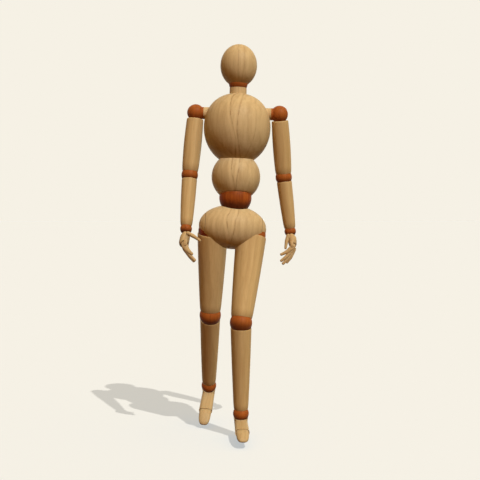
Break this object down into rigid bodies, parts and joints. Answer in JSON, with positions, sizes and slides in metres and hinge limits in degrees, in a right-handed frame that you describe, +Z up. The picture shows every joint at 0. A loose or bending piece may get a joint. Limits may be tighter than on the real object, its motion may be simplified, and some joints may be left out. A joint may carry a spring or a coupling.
{
  "type": "artist mannequin",
  "caption": "Jointed wooden artist mannequin with a blank egg head, turned limbs and stained ball joints, stepping forward, with a rod socket in its back.",
  "frame": {"origin": "middle of the mouth of the rod socket, in the back of the pelvis", "axes": "+Z up along the standing figure, +X to the figure's left, the figure faces -Y, +Y out of the rod socket"},
  "size_m": [0.1161, 0.1356, 0.389],
  "materials": {
    "light_wood": "satin",
    "stained_wood": "satin, red-brown stain",
    "steel": "plain"
  },
  "bodies": {
    "pelvis": {"pelvis": "light_wood", "hip_axle": "steel"},
    "waist_ball": {"waist_ball": "stained_wood", "waist_pin": "steel"},
    "abdomen": {"abdomen": "light_wood"},
    "chest": {"chest": "light_wood", "neck": "light_wood"},
    "neck_ball": {"neck_ball": "stained_wood", "neck_pin": "steel"},
    "head": {"head": "light_wood"},
    "right_shoulder": {"right_shoulder_ball": "stained_wood", "right_shoulder_pin": "steel"},
    "right_upper_arm": {"right_upper_arm": "light_wood"},
    "right_elbow": {"right_elbow_ball": "stained_wood", "right_elbow_pin": "steel"},
    "right_forearm": {"right_forearm": "light_wood"},
    "right_wrist": {"right_wrist_ball": "stained_wood"},
    "right_hand": {"right_palm": "light_wood", "right_hand_pins": "steel"},
    "right_thumb": {"right_thumb": "light_wood"},
    "right_index_finger": {"right_index_finger": "light_wood"},
    "right_middle_finger": {"right_middle_finger": "light_wood"},
    "right_ring_finger": {"right_ring_finger": "light_wood"},
    "right_little_finger": {"right_little_finger": "light_wood"},
    "right_hip": {"right_hip_cap": "light_wood", "right_hip_ball": "stained_wood", "right_hip_stud": "steel"},
    "right_thigh": {"right_thigh": "light_wood"},
    "right_knee": {"right_knee_ball": "stained_wood", "right_knee_pin": "steel"},
    "right_shin": {"right_shin": "light_wood"},
    "right_ankle": {"right_ankle_ball": "stained_wood"},
    "right_foot": {"right_foot": "light_wood", "right_foot_pins": "steel"},
    "right_toe": {"right_toe": "light_wood"},
    "left_shoulder": {"left_shoulder_ball": "stained_wood", "left_shoulder_pin": "steel"},
    "left_upper_arm": {"left_upper_arm": "light_wood"},
    "left_elbow": {"left_elbow_ball": "stained_wood", "left_elbow_pin": "steel"},
    "left_forearm": {"left_forearm": "light_wood"},
    "left_wrist": {"left_wrist_ball": "stained_wood"},
    "left_hand": {"left_palm": "light_wood", "left_hand_pins": "steel"},
    "left_thumb": {"left_thumb": "light_wood"},
    "left_index_finger": {"left_index_finger": "light_wood"},
    "left_middle_finger": {"left_middle_finger": "light_wood"},
    "left_ring_finger": {"left_ring_finger": "light_wood"},
    "left_little_finger": {"left_little_finger": "light_wood"},
    "left_hip": {"left_hip_cap": "light_wood", "left_hip_ball": "stained_wood", "left_hip_stud": "steel"},
    "left_thigh": {"left_thigh": "light_wood"},
    "left_knee": {"left_knee_ball": "stained_wood", "left_knee_pin": "steel"},
    "left_shin": {"left_shin": "light_wood"},
    "left_ankle": {"left_ankle_ball": "stained_wood"},
    "left_foot": {"left_foot": "light_wood", "left_foot_pins": "steel"},
    "left_toe": {"left_toe": "light_wood"}
  },
  "joints": [
    {"name": "waist_turn", "type": "hinge", "parent": "pelvis", "child": "waist_ball", "pos_m": [0.00281, -0.02093, 0.02926], "axis": [0.0954, 0.009, 0.9954], "range_deg": [-35, 35]},
    {"name": "waist_bend", "type": "hinge", "parent": "waist_ball", "child": "abdomen", "pos_m": [0.00281, -0.02093, 0.02926], "axis": [0.9952, 0.0941, -0.0279], "range_deg": [-18, 20]},
    {"name": "chest_turn", "type": "hinge", "parent": "abdomen", "child": "chest", "pos_m": [0.00333, -0.02034, 0.05015], "axis": [-0.0253, -0.0287, -0.9993], "range_deg": [-40, 40]},
    {"name": "head_turn", "type": "hinge", "parent": "chest", "child": "neck_ball", "pos_m": [0.00571, -0.01765, 0.14368], "axis": [0.0253, 0.0287, 0.9993], "range_deg": [-70, 70]},
    {"name": "head_nod", "type": "hinge", "parent": "neck_ball", "child": "head", "pos_m": [0.00571, -0.01765, 0.14368], "axis": [0.9983, -0.0523, -0.0238], "range_deg": [-16, 17]},
    {"name": "right_shoulder_swing", "type": "hinge", "parent": "chest", "child": "right_shoulder", "pos_m": [-0.0369, -0.01633, 0.1143], "axis": [-0.9983, 0.0523, 0.0238], "range_deg": [-4, 75]},
    {"name": "right_arm_raise", "type": "hinge", "parent": "right_shoulder", "child": "right_upper_arm", "pos_m": [-0.0369, -0.01633, 0.1143], "axis": [0.0494, 0.9929, -0.1083], "range_deg": [0, 92]},
    {"name": "right_arm_twist", "type": "hinge", "parent": "right_upper_arm", "child": "right_elbow", "pos_m": [-0.04269, -0.02285, 0.05191], "axis": [-0.0919, -0.1034, -0.9904], "range_deg": [-20, 70]},
    {"name": "right_elbow_bend", "type": "hinge", "parent": "right_elbow", "child": "right_forearm", "pos_m": [-0.04269, -0.02285, 0.05191], "axis": [-0.9977, 0.0542, 0.0411], "range_deg": [-8, 34]},
    {"name": "right_wrist_turn", "type": "hinge", "parent": "right_forearm", "child": "right_wrist", "pos_m": [-0.04562, -0.03643, -0.00141], "axis": [-0.0533, -0.2465, -0.9677], "range_deg": [-20, 50]},
    {"name": "right_wrist_bend", "type": "hinge", "parent": "right_wrist", "child": "right_hand", "pos_m": [-0.04562, -0.03643, -0.00141], "axis": [-0.0385, -0.9481, 0.3157], "range_deg": [-22, 26]},
    {"name": "right_thumb_bend", "type": "hinge", "parent": "right_hand", "child": "right_thumb", "pos_m": [-0.04312, -0.04622, -0.0055], "axis": [-0.0385, -0.9481, 0.3157], "range_deg": [-20, 12]},
    {"name": "right_index_curl", "type": "hinge", "parent": "right_hand", "child": "right_index_finger", "pos_m": [-0.0456, -0.04663, -0.01661], "axis": [-0.0385, -0.9481, 0.3157], "range_deg": [-15, 40]},
    {"name": "right_middle_curl", "type": "hinge", "parent": "right_hand", "child": "right_middle_finger", "pos_m": [-0.04548, -0.04355, -0.01763], "axis": [-0.0385, -0.9481, 0.3157], "range_deg": [-15, 40]},
    {"name": "right_ring_curl", "type": "hinge", "parent": "right_hand", "child": "right_ring_finger", "pos_m": [-0.04535, -0.04047, -0.01866], "axis": [-0.0385, -0.9481, 0.3157], "range_deg": [-15, 40]},
    {"name": "right_little_curl", "type": "hinge", "parent": "right_hand", "child": "right_little_finger", "pos_m": [-0.04523, -0.03739, -0.01969], "axis": [-0.0385, -0.9481, 0.3157], "range_deg": [-15, 40]},
    {"name": "right_hip_swing", "type": "hinge", "parent": "pelvis", "child": "right_hip", "pos_m": [0, -0.0212, 0], "axis": [-0.991, -0.0937, 0.0958], "range_deg": [-25, 62]},
    {"name": "right_leg_spread", "type": "hinge", "parent": "right_hip", "child": "right_thigh", "pos_m": [-0.01984, -0.02164, -0.00416], "axis": [-0.0696, 0.9709, 0.229], "range_deg": [0, 13]},
    {"name": "right_leg_turn", "type": "hinge", "parent": "right_thigh", "child": "right_knee", "pos_m": [-0.02306, -0.00154, -0.09038], "axis": [-0.0364, 0.2269, -0.9732], "range_deg": [-15, 20]},
    {"name": "right_knee_bend", "type": "hinge", "parent": "right_knee", "child": "right_shin", "pos_m": [-0.02306, -0.00154, -0.09038], "axis": [0.9975, 0.0709, 0.0025], "range_deg": [-16, 65]},
    {"name": "right_foot_turn", "type": "hinge", "parent": "right_shin", "child": "right_ankle", "pos_m": [-0.02616, 0.04488, -0.17149], "axis": [-0.0331, 0.4964, -0.8674], "range_deg": [-20, 30]},
    {"name": "right_ankle_bend", "type": "hinge", "parent": "right_ankle", "child": "right_foot", "pos_m": [-0.02616, 0.04488, -0.17149], "axis": [-0.9958, 0.0577, 0.071], "range_deg": [-32, 25]},
    {"name": "right_toe_bend", "type": "hinge", "parent": "right_foot", "child": "right_toe", "pos_m": [-0.02928, 0.02119, -0.19597], "axis": [-0.9958, 0.0577, 0.071], "range_deg": [-10, 28]},
    {"name": "left_shoulder_swing", "type": "hinge", "parent": "chest", "child": "left_shoulder", "pos_m": [0.04677, -0.02071, 0.11231], "axis": [-0.9983, 0.0523, 0.0238], "range_deg": [-25, 80]},
    {"name": "left_arm_raise", "type": "hinge", "parent": "left_shoulder", "child": "left_upper_arm", "pos_m": [0.04677, -0.02071, 0.11231], "axis": [-0.0553, -0.9867, -0.1526], "range_deg": [0, 90]},
    {"name": "left_arm_twist", "type": "hinge", "parent": "left_upper_arm", "child": "left_elbow", "pos_m": [0.05149, -0.01137, 0.05018], "axis": [-0.075, -0.1483, 0.9861], "range_deg": [-20, 70]},
    {"name": "left_elbow_bend", "type": "hinge", "parent": "left_elbow", "child": "left_forearm", "pos_m": [0.05149, -0.01137, 0.05018], "axis": [-0.9901, 0.074, -0.1191], "range_deg": [-4, 38]},
    {"name": "left_wrist_turn", "type": "hinge", "parent": "left_forearm", "child": "left_wrist", "pos_m": [0.05833, -0.0077, -0.00437], "axis": [-0.124, -0.0667, 0.99], "range_deg": [-30, 50]},
    {"name": "left_wrist_bend", "type": "hinge", "parent": "left_wrist", "child": "left_hand", "pos_m": [0.05833, -0.0077, -0.00437], "axis": [0.1101, 0.9361, -0.334], "range_deg": [-16, 34]},
    {"name": "left_thumb_bend", "type": "hinge", "parent": "left_hand", "child": "left_thumb", "pos_m": [0.05563, -0.01735, -0.00866], "axis": [0.1101, 0.9361, -0.334], "range_deg": [-8, 30]},
    {"name": "left_index_curl", "type": "hinge", "parent": "left_hand", "child": "left_index_finger", "pos_m": [0.05996, -0.01837, -0.01915], "axis": [0.1101, 0.9361, -0.334], "range_deg": [-20, 40]},
    {"name": "left_middle_curl", "type": "hinge", "parent": "left_hand", "child": "left_middle_finger", "pos_m": [0.06032, -0.01533, -0.02023], "axis": [0.1101, 0.9361, -0.334], "range_deg": [-20, 40]},
    {"name": "left_ring_curl", "type": "hinge", "parent": "left_hand", "child": "left_ring_finger", "pos_m": [0.06068, -0.01228, -0.02132], "axis": [0.1101, 0.9361, -0.334], "range_deg": [-20, 40]},
    {"name": "left_little_curl", "type": "hinge", "parent": "left_hand", "child": "left_little_finger", "pos_m": [0.06103, -0.00924, -0.0224], "axis": [0.1101, 0.9361, -0.334], "range_deg": [-20, 40]},
    {"name": "left_hip_swing", "type": "hinge", "parent": "pelvis", "child": "left_hip", "pos_m": [0, -0.0212, 0], "axis": [-0.991, -0.0937, 0.0958], "range_deg": [-39, 50]},
    {"name": "left_leg_spread", "type": "hinge", "parent": "left_hip", "child": "left_thigh", "pos_m": [0.01868, -0.02087, -0.00786], "axis": [0.1135, -0.9668, 0.229], "range_deg": [0, 13]},
    {"name": "left_leg_turn", "type": "hinge", "parent": "left_thigh", "child": "left_knee", "pos_m": [0.0084, -0.04229, -0.09321], "axis": [0.1161, 0.2418, 0.9634], "range_deg": [-15, 20]},
    {"name": "left_knee_bend", "type": "hinge", "parent": "left_knee", "child": "left_shin", "pos_m": [0.0084, -0.04229, -0.09321], "axis": [0.9925, 0.1208, 0.0178], "range_deg": [-21, 59]},
    {"name": "left_foot_turn", "type": "hinge", "parent": "left_shin", "child": "left_ankle", "pos_m": [0.00831, -0.02796, -0.1856], "axis": [0.0009, -0.1533, 0.9882], "range_deg": [-20, 30]},
    {"name": "left_ankle_bend", "type": "hinge", "parent": "left_ankle", "child": "left_foot", "pos_m": [0.00831, -0.02796, -0.1856], "axis": [-0.999, -0.0435, -0.0058], "range_deg": [-35, 21]},
    {"name": "left_toe_bend", "type": "hinge", "parent": "left_foot", "child": "left_toe", "pos_m": [0.00977, -0.05973, -0.19818], "axis": [-0.999, -0.0435, -0.0058], "range_deg": [-10, 28]}
  ]
}
